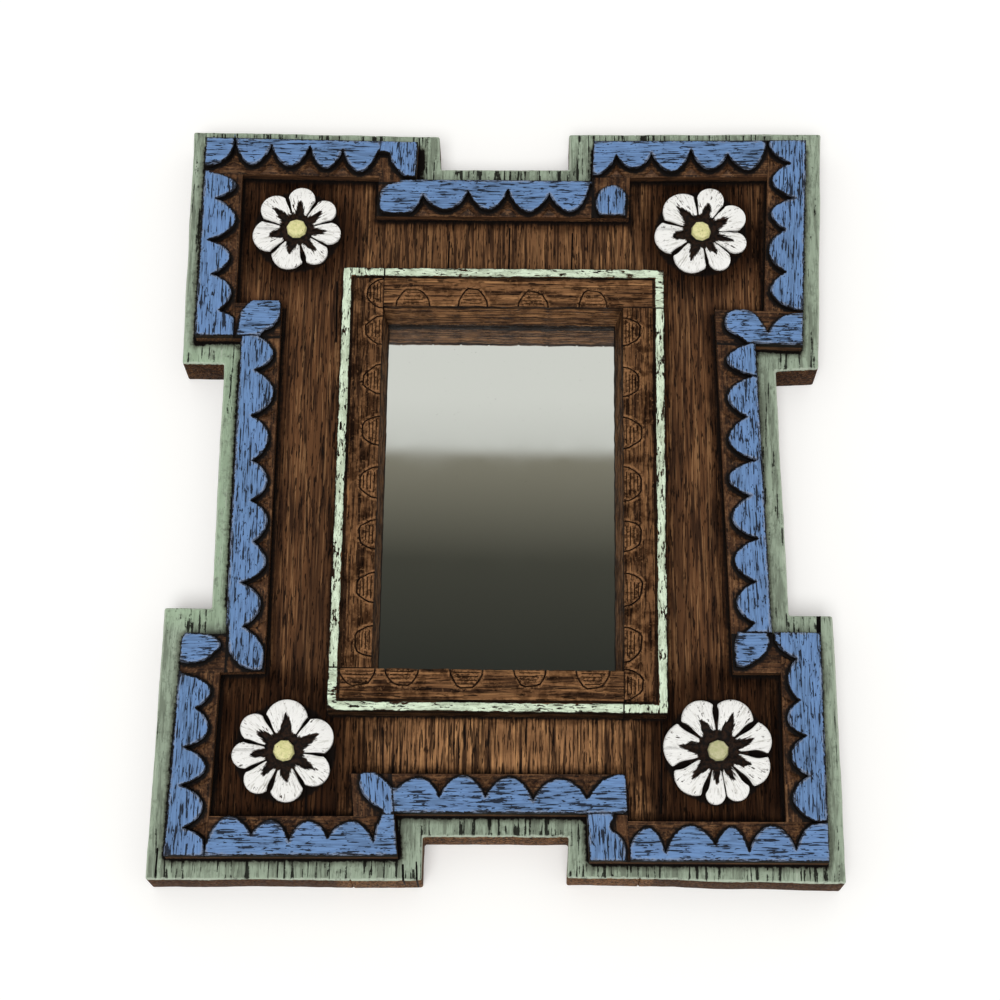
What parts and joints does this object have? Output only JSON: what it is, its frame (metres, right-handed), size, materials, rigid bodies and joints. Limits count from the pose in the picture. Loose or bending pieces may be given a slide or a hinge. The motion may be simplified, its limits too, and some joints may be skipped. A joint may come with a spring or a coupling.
{
  "type": "carved wooden wall mirror",
  "caption": "Small wall mirror in a stepped wooden frame with planted scalloped strips, an inner moulding and carved rosettes at its corners.",
  "frame": {"origin": "middle of the back face, which lies in the plane z = 0", "axes": "+Z out of the mirror's face, +Y towards its top edge, +X to the right seen from the front"},
  "size_m": [0.257, 0.307, 0.027],
  "materials": {
    "stained_wood": "dark stain, thin grey-green wash on the outer ledge, open pores",
    "blue_painted_wood": "dry-brushed blue paint over dark wood, worn edges",
    "moulding_wood": "dark stain with a pale mint outer fillet",
    "white_painted_wood": "dry-brushed white paint over dark wood",
    "yellow_painted_wood": "pale yellow paint, mottled",
    "mirror_glass": "polished, silvered on the back",
    "backing_fibreboard": "raw fibreboard",
    "steel": "plain, slightly dull"
  },
  "bodies": {
    "root": {"board_left": "stained_wood", "board_right": "stained_wood", "board_top": "stained_wood", "board_bottom": "stained_wood", "strip_tl_top": "blue_painted_wood", "strip_tl_left": "blue_painted_wood", "strip_tl_side_knob": "blue_painted_wood", "strip_tl_leg": "blue_painted_wood", "strip_top_notch": "blue_painted_wood", "strip_tr_knob": "blue_painted_wood", "strip_tr_top": "blue_painted_wood", "strip_tr_right": "blue_painted_wood", "strip_tr_side": "blue_painted_wood", "strip_waist_right": "blue_painted_wood", "strip_br_side_knob": "blue_painted_wood", "strip_br_right": "blue_painted_wood", "strip_br_bottom": "blue_painted_wood", "strip_br_leg": "blue_painted_wood", "strip_bottom_notch": "blue_painted_wood", "strip_bl_knob": "blue_painted_wood", "strip_bl_bottom": "blue_painted_wood", "strip_bl_left": "blue_painted_wood", "strip_bl_side": "blue_painted_wood", "strip_waist_left": "blue_painted_wood", "moulding_left": "moulding_wood", "moulding_top": "moulding_wood", "moulding_right": "moulding_wood", "moulding_bottom": "moulding_wood", "flower_tl": "white_painted_wood", "flower_tr": "white_painted_wood", "flower_bl": "white_painted_wood", "flower_br": "white_painted_wood", "button_tl": "yellow_painted_wood", "button_tr": "yellow_painted_wood", "button_bl": "yellow_painted_wood", "button_br": "yellow_painted_wood", "mirror_glass": "mirror_glass", "backing_board": "backing_fibreboard", "backing_brads": "steel", "sawtooth_hanger": "steel", "hanger_nails": "steel"}
  },
  "joints": []
}
